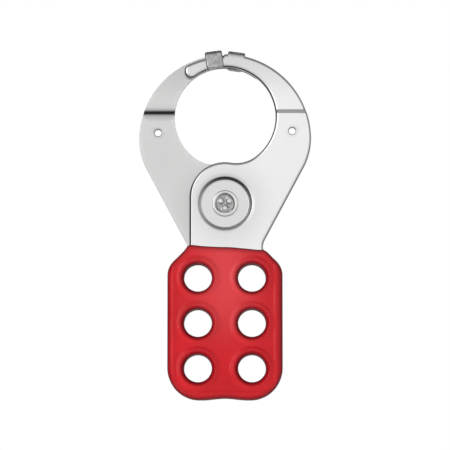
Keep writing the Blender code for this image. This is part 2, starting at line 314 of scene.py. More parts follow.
def edge_rings(points, width, depth, chamfer, steps):
    """Rings of a rounded edge, from the face out to the wall, as (points, how far below the face)."""
    move = inward(points)
    rings = []
    for k in range(steps + 1):
        share = k / steps
        turn = share * math.pi / 2.0
        out = (1.0 - chamfer) * (1.0 - math.sin(turn)) + chamfer * (1.0 - share)
        drop = (1.0 - chamfer) * (1.0 - math.cos(turn)) + chamfer * share
        rings.append((points + move * (width * out)[:, None], depth * drop))
    return rings


def hexagonal(low, high, spacing):
    """Points of a hexagonal grid that fills the box from low to high."""
    rows = []
    step = spacing * math.sqrt(0.75)
    count = int((high[1] - low[1]) / step) + 1
    for j in range(count):
        xs = np.arange(low[0] + (j % 2) * spacing / 2.0, high[0], spacing)
        rows.append(np.column_stack((xs, np.full(len(xs), low[1] + j * step))))
    return np.concatenate(rows)


def tree_of(points):
    tree = kdtree.KDTree(len(points))
    for i, (x, y) in enumerate(points):
        tree.insert((x, y, 0.0), i)
    tree.balance()
    return tree


def distances(tree, points):
    return np.array([tree.find((x, y, 0.0))[2] for x, y in points])


def within(points, loops):
    """Whether each point lies in the material, by how often a ray from it crosses the loops."""
    inside = np.zeros(len(points), bool)
    x, y = points[:, 0], points[:, 1]
    for loop in loops:
        for (x0, y0), (x1, y1) in zip(loop.tolist(), np.roll(loop, -1, axis=0).tolist()):
            if y0 != y1:
                crossed = (y > min(y0, y1)) & (y <= max(y0, y1))
                inside ^= crossed & (x < x0 + (y - y0) * (x1 - x0) / (y1 - y0))
    return inside


def cap(loops, inner, margin):
    """Triangles that fill the loops, holes left out, through the inner points off the loops' edges.

    Returns the points, the triangles, each point's number among the given ones or -1, and how many
    of those are on the loops.
    """
    border = np.concatenate(loops)
    inner = inner[within(inner, loops)]
    inner = inner[distances(tree_of(border), inner) > margin]
    every = np.concatenate((border, inner))
    edges = []
    start = 0
    for loop in loops:
        n = len(loop)
        edges += [(start + i, start + (i + 1) % n) for i in range(n)]
        start += n
    found = geometry.delaunay_2d_cdt([Vector(p) for p in every.tolist()], edges, [], 1, 1e-7)
    flat = np.array([(p.x, p.y) for p in found[0]])
    triangles = np.array(found[2])
    triangles = triangles[within(flat[triangles].mean(axis=1), loops)].tolist()
    source = [ids[0] if ids else -1 for ids in found[3]]
    return found[0], triangles, source, len(border)


def loop_levels(loop, faces, steps, wall_steps):
    """One loop's rings from the front face over the edges to the back face, as (points, depths)."""
    points = loop["points"]
    edge = {}
    for side in ("front", "back"):
        edge[side] = [np.broadcast_to(np.asarray(v, float), (len(points),)) for v in loop[side]]
    front = edge_rings(points, *edge["front"], steps[0])
    back = edge_rings(points, *edge["back"], steps[1])
    levels = [(p, faces[0](p[:, 0], p[:, 1]) - drop) for p, drop in front]
    lower = [(p, faces[1](p[:, 0], p[:, 1]) + drop) for p, drop in back]
    for k in range(1, wall_steps):
        share = k / wall_steps
        levels.append((points, levels[steps[0]][1] * (1.0 - share) + lower[-1][1] * share))
    return levels + lower[::-1]


def closed_face(ends, face, inner_points, margin, total):
    """The triangles that close a face inside the loops' end rings, and the new points they need.

    ends are the rings, each with the number of its first point. New points are numbered from total.
    """
    numbers = np.concatenate([first + np.arange(len(ring)) for ring, first in ends])
    points, triangles, source, border = cap([ring for ring, _ in ends], inner_points, margin)
    place, fresh = {}, []
    for v in (corner for triangle in triangles for corner in triangle):
        if v in place:
            continue
        if 0 <= source[v] < border:
            place[v] = int(numbers[source[v]])
        else:
            place[v] = total + len(fresh)
            fresh.append((points[v].x, points[v].y))
    flat = np.array(fresh).reshape(-1, 2)
    new_points = np.column_stack((flat, face(flat[:, 0], flat[:, 1])))
    return [[place[v] for v in triangle] for triangle in triangles], new_points


def skin(name, loops, faces, inner_points, margin, steps=(5, 3), wall_steps=1):
    """A closed mesh between two faces, with an edge of its own at each loop.

    loops are dicts of points, front and back; front and back are (width, depth, chamfer) of the
    edge, each an array along the loop or a number. faces are two functions of (x, y) that give the
    depth of the front face and of the back face.
    """
    verts, polys = [], []
    total = 0
    front_ends, back_ends = [], []
    for loop in loops:
        levels = loop_levels(loop, faces, steps, wall_steps)
        n = len(loop["points"])
        first = total
        verts += [np.column_stack(level) for level in levels]
        total += n * len(levels)
        ids = np.arange(n)
        after = (ids + 1) % n
        for k in range(len(levels) - 1):
            a, b = first + k * n, first + (k + 1) * n
            polys += np.column_stack((a + ids, b + ids, b + after, a + after)).tolist()
        front_ends.append((levels[0][0], first))
        back_ends.append((levels[-1][0], total - n))
    for ends, face, direction in ((front_ends, faces[0], 1), (back_ends, faces[1], -1)):
        triangles, new_points = closed_face(ends, face, inner_points, margin, total)
        verts.append(new_points)
        total += len(new_points)
        polys += [corners[::direction] for corners in triangles]
    mesh = bpy.data.meshes.new(name)
    mesh.from_pydata(np.concatenate(verts).tolist(), [], polys)
    mesh.validate()
    return mesh


def placed(name, mesh, matrix=None):
    if matrix is not None:
        mesh.transform(matrix)
    item = bpy.data.objects.new(name, mesh)
    bpy.context.scene.collection.objects.link(item)
    return item


def combined(item, other, operation):
    """The mesh of a Boolean between the two objects, which are both removed."""
    step = item.modifiers.new("step", "BOOLEAN")
    step.operation = operation
    step.object = other
    step.solver = "EXACT"
    bpy.context.view_layer.update()
    mesh = bpy.data.meshes.new_from_object(item.evaluated_get(bpy.context.evaluated_depsgraph_get()))
    bpy.data.objects.remove(item, do_unlink=True)
    bpy.data.objects.remove(other, do_unlink=True)
    return mesh


def ramp_up(value, low, high, blur):
    """0 below low, 1 above high and straight between, with both corners rounded over blur."""
    total = 0.0
    for shift in np.linspace(-blur, blur, 9):
        total = total + np.clip((value + shift - low) / (high - low), 0.0, 1.0)
    return total / 9.0


def ramp_down(value, low, high, blur):
    return 1.0 - ramp_up(value, low, high, blur)


def bump(value, crest, width):
    """A bell curve of height 1 at the crest."""
    return np.exp(-((value - crest) / width) ** 2)


def corners_of(mesh):
    """The x, y and z of every vertex, as three arrays."""
    co = np.zeros(len(mesh.vertices) * 3)
    mesh.vertices.foreach_get("co", co)
    return co.reshape(-1, 3).T


def mark(mesh, name, values):
    """Stores a value for each vertex, for the material to read."""
    layer = mesh.attributes.new(name, "FLOAT", "POINT")
    layer.data.foreach_set("value", np.asarray(values, np.float32))


def mark_edges(mesh, border, reach):
    """Stores how near each point is to the outline's edge, from 0 far off to 1 at the edge."""
    flat = corners_of(mesh)[:2].T
    mark(mesh, "edge", np.exp(-distances(border, flat) / reach))


# ---------------------------------------------------------------- steel half

# Edges as (width, depth, chamfer). The last one is added to the shear edge along the arm.
ROLLED_EDGE = (1.35, 1.0, 0.0)
SHEAR_EDGE = (0.12, 0.12, 0.0)
PADLOCK_HOLE_EDGE = (0.4, 0.35, 0.0)
HANG_HOLE_EDGE = (0.35, 0.4, 0.0)
BORE_EDGE = (0.2, 0.2, 0.0)
TAB_EDGE = (0.75, 0.7, 0.0)
ARM_CHAMFER = (1.0, 0.85, 0.75)


def joggle(y):
    return -JOGGLE_STEP * ramp_up(y, JOGGLE_BOTTOM, JOGGLE_TOP, JOGGLE_BEND)


def dish(x, y):
    """Depth of the pressed dish: a flat floor, a steep wall and a soft shoulder."""
    r = np.hypot(x, y)
    wall = ramp_up(r, DISH_FLOOR_RADIUS, DISH_WALL_TOP, 0.13)
    shoulder = ramp_up(r, DISH_SHOULDER_START, DISH_SHOULDER_END, 0.08)
    return DISH_DEPTH * (DISH_WALL_SHARE * wall + (1.0 - DISH_WALL_SHARE) * shoulder - 1.0)


def outer_face(x, y):
    return OUTER_FACE + joggle(y) + dish(x, y)


def mating_face(x, y):
    return MATING_FACE + joggle(y) + dish(x, y)


def finer_at_joggle(y):
    """Spacing of the outline's points at the height y."""
    return 0.18 if JOGGLE_BOTTOM - 0.5 < y < JOGGLE_TOP + 0.5 else 1.0


def plate_inner_points():
    """Points inside the plate: coarse on the flats, close together on the dish and the joggle."""
    grid = hexagonal((-34.0, -74.0), (34.0, 58.0), 2.0)
    r = np.hypot(grid[:, 0], grid[:, 1])
    y = grid[:, 1]
    innermost, outermost, spare = DISH_FLOOR_RADIUS - 0.85, DISH_SHOULDER_END + 0.3, 0.3
    off_dish = (r < innermost - spare) | (r > outermost + spare)
    off_joggle = (y < JOGGLE_BOTTOM - 1.0) | (y > JOGGLE_TOP + 1.0)
    rings = [circle((0.0, 0.0), radius, 132) for radius in np.linspace(innermost, outermost, 28)]
    xs = np.arange(-33.0, 33.0, 0.7)
    heights = np.linspace(JOGGLE_BOTTOM - 0.35, JOGGLE_TOP + 0.35, 12)
    rows = [np.column_stack((xs, np.full(len(xs), height))) for height in heights]
    return np.concatenate([grid[off_dish & off_joggle]] + rings + rows)


def tab_profile():
    """Side view of the folded tab: x is the depth towards the other half, y the radius."""
    near = -OUTER_FACE + JOGGLE_STEP + TAB_INSET
    far = near + PLATE_THICKNESS - 2.0 * TAB_INSET
    under = RING_RADIUS - ARM_INSET + CLEARANCE
    top = under + TAB_THICKNESS
    foot = top - TAB_LENGTH
    bend = TAB_THICKNESS * 0.9
    inside_corner, outside_corner = 0.4, 0.5
    points = [(near, RING_RADIUS - TAB_ROOT_DEPTH), (far, RING_RADIUS - TAB_ROOT_DEPTH)]
    points += [(far, under), (TAB_LIP, under)]
    centre = (TAB_LIP + inside_corner, foot + inside_corner)
    points += arc(centre, inside_corner, 180.0, 270.0, 0.15)
    centre = (TAB_LIP + TAB_THICKNESS - outside_corner, foot + outside_corner)
    points += arc(centre, outside_corner, -90.0, 0.0, 0.15)
    points += arc((TAB_LIP + TAB_THICKNESS - bend, top - bend), bend, 0.0, 90.0, 0.25)
    points += arc((near + bend, top - bend), bend, 90.0, 180.0, 0.25)
    return points


def tab():
    """The tab at the top of the ring, folded over the other half's arm, with a rounded foot."""
    outline = turned_to(dense(tab_profile(), lambda y: 0.5), True)
    half = TAB_WIDTH / 2.0
    loop = {"points": outline, "front": TAB_EDGE, "back": TAB_EDGE}
    faces = (lambda x, y: np.full(len(x), half), lambda x, y: np.full(len(x), -half))
    mesh = skin("tab", [loop], faces, hexagonal((-3.2, 26.0), (5.4, 34.0), 0.4), 0.2, (5, 5), 14)
    foot = outline[:, 1].min()
    for vert in mesh.vertices:
        height = vert.co.y - foot
        if vert.co.x > TAB_LIP - CLEARANCE and height < TAB_CORNER:
            pull = TAB_CORNER - math.sqrt(max(0.0, TAB_CORNER ** 2 - (TAB_CORNER - height) ** 2))
            vert.co.z *= 1.0 - pull / half
    ring = Matrix.Translation((0.0, RING_CENTRE_HEIGHT, 0.0))
    turn = Matrix.Rotation(math.radians(-TAB_ANGLE), 4, "Z")
    sideways = Matrix.Rotation(math.radians(90.0), 4, "Y")
    return placed("tab", mesh, ring @ turn @ sideways)


def plate_loops(outline):
    """The plate's outline and holes, with a rolled edge in front and a shear edge behind.

    The back edge widens to a chamfer where the arm goes round the jaw opening.
    """
    x, y = outline.T
    from_jaw = np.degrees(np.arctan2(y - JAW_HEIGHT, x))
    on_jaw = np.abs(np.hypot(x, y - JAW_HEIGHT) - JAW_RADIUS) < 0.05
    along_arm = on_jaw * ramp_up(from_jaw, 72.0, 84.0, 1.0)
    back = [plain + extra * along_arm for plain, extra in zip(SHEAR_EDGE, ARM_CHAMFER)]
    loops = [{"points": outline, "front": ROLLED_EDGE, "back": back}]
    loops += padlock_holes(HOLE_RADIUS, 56, PADLOCK_HOLE_EDGE, SHEAR_EDGE)
    loops.append(hole_loop(HANG_HOLE, HANG_HOLE_RADIUS, 32, HANG_HOLE_EDGE, HANG_HOLE_EDGE))
    loops.append(hole_loop((0.0, 0.0), BORE_RADIUS, 48, BORE_EDGE, SHEAR_EDGE))
    return loops


def mark_steel(mesh, outline, border):
    """Stores where the tab is rough from shearing and darkened with painted shade, where painted shade
    darkens holes, walls, creases, the rolled outline and the dish, and where the arm's top and the hub are
    darker.

    Each place has its own strength, from 0 to 1, and fades out over a range of heights or distances.
    """
    x, y, z = corners_of(mesh)
    flat = np.column_stack((x, y))
    from_pivot = np.hypot(x, y)
    from_ring = np.hypot(x, y - RING_CENTRE_HEIGHT)
    from_hang_hole = np.hypot(x - HANG_HOLE[0], y - HANG_HOLE[1])
    middle = MIDDLE + joggle(y)

    # The folded tab and its lip: rough sheared steel, and also painted darker there as painted shade and
    # painted dark reflection.
    fold = ramp_up(from_ring, RING_RADIUS - 0.1, RING_RADIUS + 0.5, 0.1)
    lip = ramp_up(-z, TAB_LIP - 0.28, TAB_LIP, 0.05)
    mark(mesh, "sheared_and_shade", np.where(y > JAW_HEIGHT, np.maximum(fold, 0.5 * lip), 0.0))

    # Painted shade, stored as one mark: in the hang hole, on the walls by the border (darker higher up),
    # along the rolled front outline and more so beside the hub, in the joggle crease, and in the dish
    # wall, more at its top.
    in_hole = 0.85 * ramp_down(from_hang_hole, HANG_HOLE_RADIUS + 0.1, HANG_HOLE_RADIUS + 0.4, 0.05)
    shade = 0.3 + 0.5 * ramp_up(y, JAW_HEIGHT, JAW_HEIGHT + 12.0, 1.0)
    wall = shade * ramp_down(distances(border, flat), 0.02, 0.1, 0.0)
    beside_hub = ramp_down(y, 5.0, 13.0, 1.0) * ramp_down(x, 3.0 - HUB_RADIUS, 7.0 - HUB_RADIUS, 0.5)
    from_outline = distances(tree_of(outline), flat) - 0.25 * beside_hub
    rolled = (0.6 + 0.32 * beside_hub) * ramp_down(from_outline, 0.3, 0.95, 0.1)
    rolled = np.where(z > middle, rolled, 0.0)
    crease = np.where(z < middle, 0.95 * bump(y, (JOGGLE_BOTTOM + JOGGLE_TOP) / 2.0, 1.15), 0.0)
    ring = (0.3 + 0.35 * ramp_up(y, 2.0, 9.0, 1.0)) * bump(from_pivot, DISH_FLOOR_RADIUS + 0.7, 0.75)
    mark(mesh, "painted_shade", np.max((in_hole, wall, rolled, crease, ring), axis=0))

    # Darker towards the top of the arm and round the hub.
    arm = ramp_up(y, 40.0, 56.0, 2.0)
    hub = ramp_down(from_pivot, 9.0, 19.0, 3.0)
    mark(mesh, "darker_arm_and_hub", np.maximum(0.55 * arm, 0.4 * hub))


def steel_half():
    """One stamping with its tab, in its own frame."""
    outline = turned_to(dense(plate_outline(), finer_at_joggle), True)
    loops = plate_loops(outline)
    plate = skin("plate", loops, (outer_face, mating_face), plate_inner_points(), 0.35, (6, 3))
    mesh = combined(placed("plate", plate), tab(), "UNION")
    border = tree_of(np.concatenate([loop["points"] for loop in loops]))
    mark_edges(mesh, border, 0.9)
    mark_steel(mesh, outline, border)
    return mesh


# ---------------------------------------------------------------- vinyl grip

SLEEVE_EDGE = (1.6, 1.5, 0.0)
POCKET_EDGE = (0.02, 0.02, 0.0)
# The coat's own edge at the neck, and what is added to it lower down, as (width, depth).
NECK_EDGE = (0.42, 0.3)
COAT_EDGE_GAIN = (1.3, 1.25)


def coat_height(x, y):
    """Half the grip's thickness: raised lips round the holes and the border, thin at the neck."""
    nearest = np.min([np.hypot(x - centre_x, y - centre_y) for centre_x, centre_y in HOLE_CENTRES], axis=0)
    lip = bump(nearest, LIP_RADIUS, 0.95)
    from_side = BLADE_HALF_WIDTH + COAT_THICKNESS - np.abs(x)
    from_bottom = y - BLADE_BOTTOM + COAT_THICKNESS
    rim = bump(np.minimum(from_side, from_bottom), RIM_INSET, 0.9)
    wave = 0.05 * np.sin(0.31 * x + 0.9) * np.sin(0.23 * y + 0.4) + 0.025 * np.sin(0.7 * x - 0.5 * y)
    full = COAT_BETWEEN_HOLES + LIP_HEIGHT * np.maximum(lip, RIM_SHARE * rim)
    full = full + wave * (1.0 - np.maximum(lip, rim))
    below_top = ramp_up(coat_top(x) - y, 0.0, 2.6, 0.6)
    return PLATE_THICKNESS / 2.0 + COAT_TOP_EDGE + (full - COAT_TOP_EDGE) * below_top


def coat_front(x, y):
    return MIDDLE + coat_height(x, y)


def coat_back(x, y):
    return MIDDLE - coat_height(-x, y)


def grip_outline():
    """The coat's outline with a slightly wavy top edge, a soft neck and a shallow dip at the bottom."""
    outline = turned_to(dense(coat_outline(COAT_THICKNESS, COAT_AT_NECK, 0.0), lambda y: 0.45), True)
    x, y = outline.T.copy()
    at_top = y > coat_top(x) - 0.05
    outline[:, 1] += np.where(at_top, 0.13 * np.sin(0.34 * x + 0.6) + 0.03 * np.sin(0.9 * x), 0.0)
    for _ in range(14):
        mean = (np.roll(outline, 1, axis=0) + np.roll(outline, -1, axis=0)) / 2.0
        near_top = (outline[:, 1] > COAT_TOP - 4.0)[:, None]
        outline = np.where(near_top, 0.5 * outline + 0.5 * mean, outline)
    x, y = outline.T.copy()
    at_bottom = y < BLADE_BOTTOM - COAT_THICKNESS + 0.02
    dip = BOTTOM_DIP * (0.5 + 0.5 * np.cos(np.pi * np.clip(x / BOTTOM_DIP_REACH, -1.0, 1.0)))
    outline[:, 1] += np.where(at_bottom, dip, 0.0)
    return outline


def vinyl_grip():
    """The dipped jacket round the blade, with a sleeve through each hole and an open neck."""
    outline = grip_outline()
    soft = ramp_up(coat_top(outline[:, 0]) - outline[:, 1], 0.0, 3.0, 0.5)
    rounded = [thin + gain * soft for thin, gain in zip(NECK_EDGE, COAT_EDGE_GAIN)] + [0.0]
    loops = [{"points": outline, "front": rounded, "back": rounded}]
    loops += padlock_holes(HOLE_RADIUS - COAT_THICKNESS, 72, SLEEVE_EDGE, SLEEVE_EDGE)
    grid = hexagonal((-22.0, -75.0), (22.0, -14.0), 0.6)
    jacket = skin("grip", loops, (coat_front, coat_back), grid, 0.4, (7, 7), 2)
    mesh = combined(placed("grip", jacket), pocket(), "DIFFERENCE")
    mark_edges(mesh, tree_of(np.concatenate([loop["points"] for loop in loops])), 1.15)
    x, y, _ = corners_of(mesh)
    # The 'thin' mark holds a painted highlight: a paler red over the upper middle of the grip.
    mark(mesh, "thin", ramp_up(y, -56.0, -36.0, 4.0) * bump(x, 0.0, 11.0))
    return mesh


def pocket():
    """The space that the blade fills inside its grip, open at the neck."""
    outline = turned_to(dense(coat_outline(POCKET_FIT, POCKET_FIT, 2.0), lambda y: 2.0), True)
    loops = [{"points": outline, "front": POCKET_EDGE, "back": POCKET_EDGE}]
    loops += padlock_holes(HOLE_RADIUS - POCKET_FIT, 48, POCKET_EDGE, POCKET_EDGE)
    faces = (
        lambda x, y: np.full(len(x), OUTER_FACE + POCKET_FIT),
        lambda x, y: np.full(len(x), MATING_FACE - POCKET_FIT),
    )
    grid = hexagonal((-22.0, -75.0), (22.0, -12.0), 4.0)
    return placed("pocket", skin("pocket", loops, faces, grid, 1.0, (1, 1)))


# ---------------------------------------------------------------- rivet

def punch(radius, angle):
    """Depth of the punched recess in the front head: a lobed bowl, three grooves and three bosses."""
    around = np.cos(3.0 * (angle - math.pi / 2.0))
    edge = PUNCH_RADIUS + PUNCH_LOBE * around
    bowl = ramp_down(radius, edge - 0.7, edge + 0.1, 0.1)
    groove = np.exp(-((1.0 - around) / 0.35) ** 2) * bump(radius, 1.6, 1.2)
    boss = np.clip(1.7 * np.exp(-((1.0 + around) / 0.8) ** 2) * bump(radius, 1.75, 0.85), 0.0, 1.0)
    return PUNCH_DEPTH * bowl + GROOVE_DEPTH * groove - BOSS_HEIGHT * boss


def front_head():
    """Radius and height of the staked head's points, from the middle out and down to its seat."""
    points = [(r, HEAD_TOP) for r in np.linspace(0.18, PUNCHED_REACH, PUNCHED_RINGS)]
    points += [(PUNCHED_REACH + 0.15, HEAD_TOP), (PUNCHED_REACH + 0.3, HEAD_TOP - HEAD_CROWN)]
    for turn in np.linspace(15.0, 90.0, 6):
        lean = math.radians(turn)
        r = FRONT_HEAD_RADIUS - HEAD_ROUNDING + HEAD_ROUNDING * math.sin(lean)
        points.append((r, HEAD_TOP - HEAD_CROWN - 0.55 * (1.0 - math.cos(lean))))
    return points + [(FRONT_HEAD_RADIUS, HEAD_SEAT + 0.2), (FRONT_HEAD_RADIUS - 0.12, HEAD_SEAT)]


def back_head():
    """Radius and height of the domed head's points, from its seat outwards and over the dome."""
    bevel = 0.15
    points = [(BACK_HEAD_RADIUS - bevel, -HEAD_SEAT), (BACK_HEAD_RADIUS, -HEAD_SEAT - bevel)]
    points += [(BACK_HEAD_RADIUS, -HEAD_SEAT - BACK_HEAD_RIM)]
    for turn in np.linspace(12.0, 84.0, 9):
        lean = math.radians(turn)
        dome = (HEAD_HEIGHT - BACK_HEAD_RIM) * math.sin(lean)
        points.append((BACK_HEAD_RADIUS * math.cos(lean), -HEAD_SEAT - (BACK_HEAD_RIM + dome)))
    return points


def rivet():
    """The rivet along its own axis: staked head in front, domed head behind."""
    profile = front_head() + [(SHANK_RADIUS, HEAD_SEAT), (SHANK_RADIUS, -HEAD_SEAT)] + back_head()
    sides = RIVET_SIDES
    angles = np.arange(sides) * 2.0 * math.pi / sides
    verts = [(0.0, 0.0, HEAD_TOP - float(punch(np.array(0.0), np.array(0.0))))]
    for k, (r, z) in enumerate(profile):
        sunk = punch(np.full(sides, r), angles) if k < PUNCHED_RINGS else np.zeros(sides)
        verts += np.column_stack((r * np.cos(angles), r * np.sin(angles), z - sunk)).tolist()
    verts.append((0.0, 0.0, -HEAD_SEAT - HEAD_HEIGHT))
    last = len(verts) - 1
    outermost = 1 + (len(profile) - 1) * sides
    polys = []
    for i in range(sides):
        j = (i + 1) % sides
        polys.append((0, 1 + i, 1 + j))
        for k in range(len(profile) - 1):
            a, b = 1 + k * sides, 1 + (k + 1) * sides
            polys.append((a + i, b + i, b + j, a + j))
        polys.append((outermost + i, last, outermost + j))
    mesh = bpy.data.meshes.new("rivet")
    mesh.from_pydata(verts, [], polys)
    mesh.validate()
    mark_edges(mesh, tree_of(circle((0.0, 0.0), FRONT_HEAD_RADIUS, 90)), 0.6)
    x, y, z = corners_of(mesh)
    # Painted shade in the punched recess of the front head.
    sunk = np.where(z > 0.0, ramp_up(HEAD_TOP - z, 0.35, 0.8, 0.05), 0.0)
    mark(mesh, "painted_shade", 0.5 * sunk * (np.hypot(x, y) < PUNCHED_REACH + 0.05))
    return mesh


# ---------------------------------------------------------------- materials

WHITE = (1.0, 1.0, 1.0, 1.0)
BLACK = (0.0, 0.0, 0.0, 1.0)
POLISHED_STEEL = (0.9, 0.9, 0.89, 1.0)
FRONT_TONE = (0.93, 0.93, 0.925)
# The rear half is the same zinc plate as the front, given a darker tone as painted shade.
BACK_TONE_PAINTED_SHADE = (0.71, 0.71, 0.705)
RIVET_TONE = (0.78, 0.78, 0.775)
CLOUDED_SHARE = 0.93
SHEARED_AND_SHADE_SHARE = 0.17
PAINTED_SHADE_SHARE = 0.12
DEEP_RED = (0.39, 0.002, 0.006, 1.0)
RED = (0.45, 0.003, 0.009, 1.0)
PAINTED_HIGHLIGHT_RED = (0.50, 0.032, 0.038, 1.0)
EDGE_RED_PAINTED_SHADE = (0.10, 0.001, 0.004, 1.0)


class Nodes:
    """A few short cuts for building a node tree."""

    def __init__(self, tree):
        self.tree = tree

    def add(self, kind, **settings):
        node = self.tree.nodes.new(kind)
        for key, value in settings.items():
            setattr(node, key, value)
        return node

    def link(self, source, target):
        self.tree.links.new(source, target)

    def feed(self, sockets, values):
        """Links each socket to its value, or sets it where the value is a number or a colour."""
        for socket, value in zip(sockets, values):
            if isinstance(value, (int, float, tuple)):
                socket.default_value = value
            else:
                self.link(value, socket)

    def ranged(self, value, low, high, new_low, new_high, smooth=False):
        node = self.add("ShaderNodeMapRange", interpolation_type="SMOOTHSTEP" if smooth else "LINEAR")
        names = ("Value", "From Min", "From Max", "To Min", "To Max")
        self.feed([node.inputs[name] for name in names], (value, low, high, new_low, new_high))
        return node.outputs["Result"]

    def math(self, operation, a, b=0.0):
        node = self.add("ShaderNodeMath", operation=operation)
        self.feed(node.inputs, (a, b))
        return node.outputs["Value"]

    def sum(self, a, b):
        return self.math("ADD", a, b)

    def times(self, a, b):
        return self.math("MULTIPLY", a, b)

    def blend(self, factor, a, b):
        """The number a where the factor is 0, and b where it is 1."""
        return self.sum(self.times(a, self.math("SUBTRACT", 1.0, factor)), self.times(b, factor))


class MaterialNodes(Nodes):
    """The node tree of a new material, with its shader."""

    def __init__(self, name):
        self.material = bpy.data.materials.new(name)
        self.material.use_nodes = True
        super().__init__(self.material.node_tree)
        self.shader = self.tree.nodes["Principled BSDF"]

    def position(self, scale):
        coords = self.add("ShaderNodeTexCoord")
        mapping = self.add("ShaderNodeMapping")
        mapping.inputs["Scale"].default_value = scale
        self.link(coords.outputs["Object"], mapping.inputs["Vector"])
        return mapping.outputs["Vector"]

    def noise(self, scale, detail=3.0, stretch=(1.0, 1.0, 1.0), roughness=0.5):
        noise = self.add("ShaderNodeTexNoise")
        noise.inputs["Scale"].default_value = scale
        noise.inputs["Detail"].default_value = detail
        noise.inputs["Roughness"].default_value = roughness
        self.link(self.position(stretch), noise.inputs["Vector"])
        return noise.outputs["Fac"]

    def spread(self, noise, low, high):
        """A noise, most of which lies between 0.3 and 0.7, stretched to run from low to high."""
        return self.ranged(noise, 0.3, 0.7, low, high)

    def mix(self, factor, a, b):
        node = self.add("ShaderNodeMix", data_type="RGBA")
        self.feed([node.inputs[name] for name in ("Factor", "A", "B")], (factor, a, b))
        return node.outputs["Result"]

    def attribute(self, name):
        return self.add("ShaderNodeAttribute", attribute_name=name).outputs["Fac"]

    def bump(self, height, strength, distance, previous=None):
        node = self.add("ShaderNodeBump")
        node.inputs["Strength"].default_value = strength
        node.inputs["Distance"].default_value = distance
        self.link(height, node.inputs["Height"])
        if previous is not None:
            self.link(previous, node.inputs["Normal"])
        return node.outputs["Normal"]


def darker(tone, share):
    """The colour of a tone at a share of its brightness."""
    return (*[c * share for c in tone], 1.0)


def steel(name, tone):
    """Zinc-plated steel: fine vertical grain, faint clouding, polished edges and painted shade in its
    creases and recesses.
    """
    n = MaterialNodes(name)
    n.shader.inputs["Metallic"].default_value = 1.0
    grain = n.noise(3600.0, 2.0, (1.0, 1.0, 0.05), 0.6)
    cloud = n.noise(85.0, 3.0, (1.0, 1.0, 0.55))
    speck = n.noise(900.0, 4.0)
    shade = n.sum(n.spread(grain, -0.03, 0.03), n.spread(cloud, -0.035, 0.035))
    worn = n.times(n.attribute("edge"), n.ranged(speck, 0.35, 0.65, 0.0, 1.0))
    # The tab's mark gives real roughness and relief, and a painted-shade darkening of its colour.
    sheared_and_shade = n.times(n.attribute("sheared_and_shade"), n.ranged(speck, 0.38, 0.6, 1.0, 0.3))

    colour = n.mix(n.ranged(shade, -0.06, 0.06, 0.0, 1.0), darker(tone, CLOUDED_SHARE), (*tone, 1.0))
    colour = n.mix(n.times(worn, 0.35), colour, POLISHED_STEEL)
    # Darker at the top of the arm and round the hub.
    colour = n.mix(n.times(n.attribute("darker_arm_and_hub"), 0.42), colour, BLACK)
    colour = n.mix(sheared_and_shade, colour, darker(tone, SHEARED_AND_SHADE_SHARE))
    # Painted shade: darkens the steel in holes, creases, walls and recesses.
    colour = n.mix(n.attribute("painted_shade"), colour, darker(tone, PAINTED_SHADE_SHARE))
    n.link(colour, n.shader.inputs["Base Color"])

    rough = n.sum(n.spread(cloud, 0.17, 0.23), n.spread(grain, -0.02, 0.02))
    rough = n.sum(rough, n.times(sheared_and_shade, 0.18))
    n.link(n.math("SUBTRACT", rough, n.times(worn, 0.06)), n.shader.inputs["Roughness"])

    relief = n.bump(grain, 0.16, 0.00003)
    relief = n.bump(speck, 0.05, 0.00004, relief)
    relief = n.bump(n.times(sheared_and_shade, speck), 0.5, 0.0002, relief)
    n.link(relief, n.shader.inputs["Normal"])
    return n.material


def vinyl(name):
    """Glossy red plastisol: slight mottling, an orange-peel skin, painted shade at the edges and a painted
    highlight, a paler red, over the upper middle.
    """
    n = MaterialNodes(name)
    cloud = n.noise(60.0, 2.0)
    peel = n.noise(420.0, 2.0)
    fine = n.noise(2600.0, 2.0)
    edge = n.ranged(n.attribute("edge"), 0.12, 0.85, 0.0, 1.0)

    colour = n.mix(n.ranged(cloud, 0.35, 0.65, 0.0, 1.0), DEEP_RED, RED)
    # Painted highlight: the 'thin' mark turns the red paler over the upper middle.
    colour = n.mix(n.attribute("thin"), colour, PAINTED_HIGHLIGHT_RED)
    # Painted shade: the red turns near black toward the edges and hole rims.
    n.link(n.mix(edge, colour, EDGE_RED_PAINTED_SHADE), n.shader.inputs["Base Color"])

    rough = n.sum(n.spread(peel, 0.13, 0.21), n.times(edge, 0.3))
    n.link(rough, n.shader.inputs["Roughness"])
    n.shader.inputs["Specular IOR Level"].default_value = 0.28
    relief = n.bump(fine, 0.05, 0.00002, n.bump(peel, 0.10, 0.00012))
    n.link(relief, n.shader.inputs["Normal"])
    return n.material


# ---------------------------------------------------------------- pieces

def piece(name, shape, pose, material, body, node):
    """A named piece of the visual, made from a copy of the shape, on its body and in its node's place."""
    mesh = shape.copy()
    item = placed(name, mesh, pose)
    mesh.name = name
    mesh.materials.clear()
    mesh.materials.append(material)
    mesh.shade_smooth()
    mesh.set_sharp_from_angle(angle=math.radians(42.0))
    even = item.modifiers.new("even_normals", "WEIGHTED_NORMAL")
    even.keep_sharp = True
    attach(item, body)
    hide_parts(node)


plate_mesh = steel_half()
grip_mesh = vinyl_grip()

front_steel = steel("zinc_plated_front", FRONT_TONE)
# Same steel as the front, darker: painted shade on the rear half.
back_steel_painted_shade = steel("zinc_plated_back_painted_shade", BACK_TONE_PAINTED_SHADE)
rivet_steel = steel("rivet_steel", RIVET_TONE)
red_vinyl = vinyl("red_plastisol")

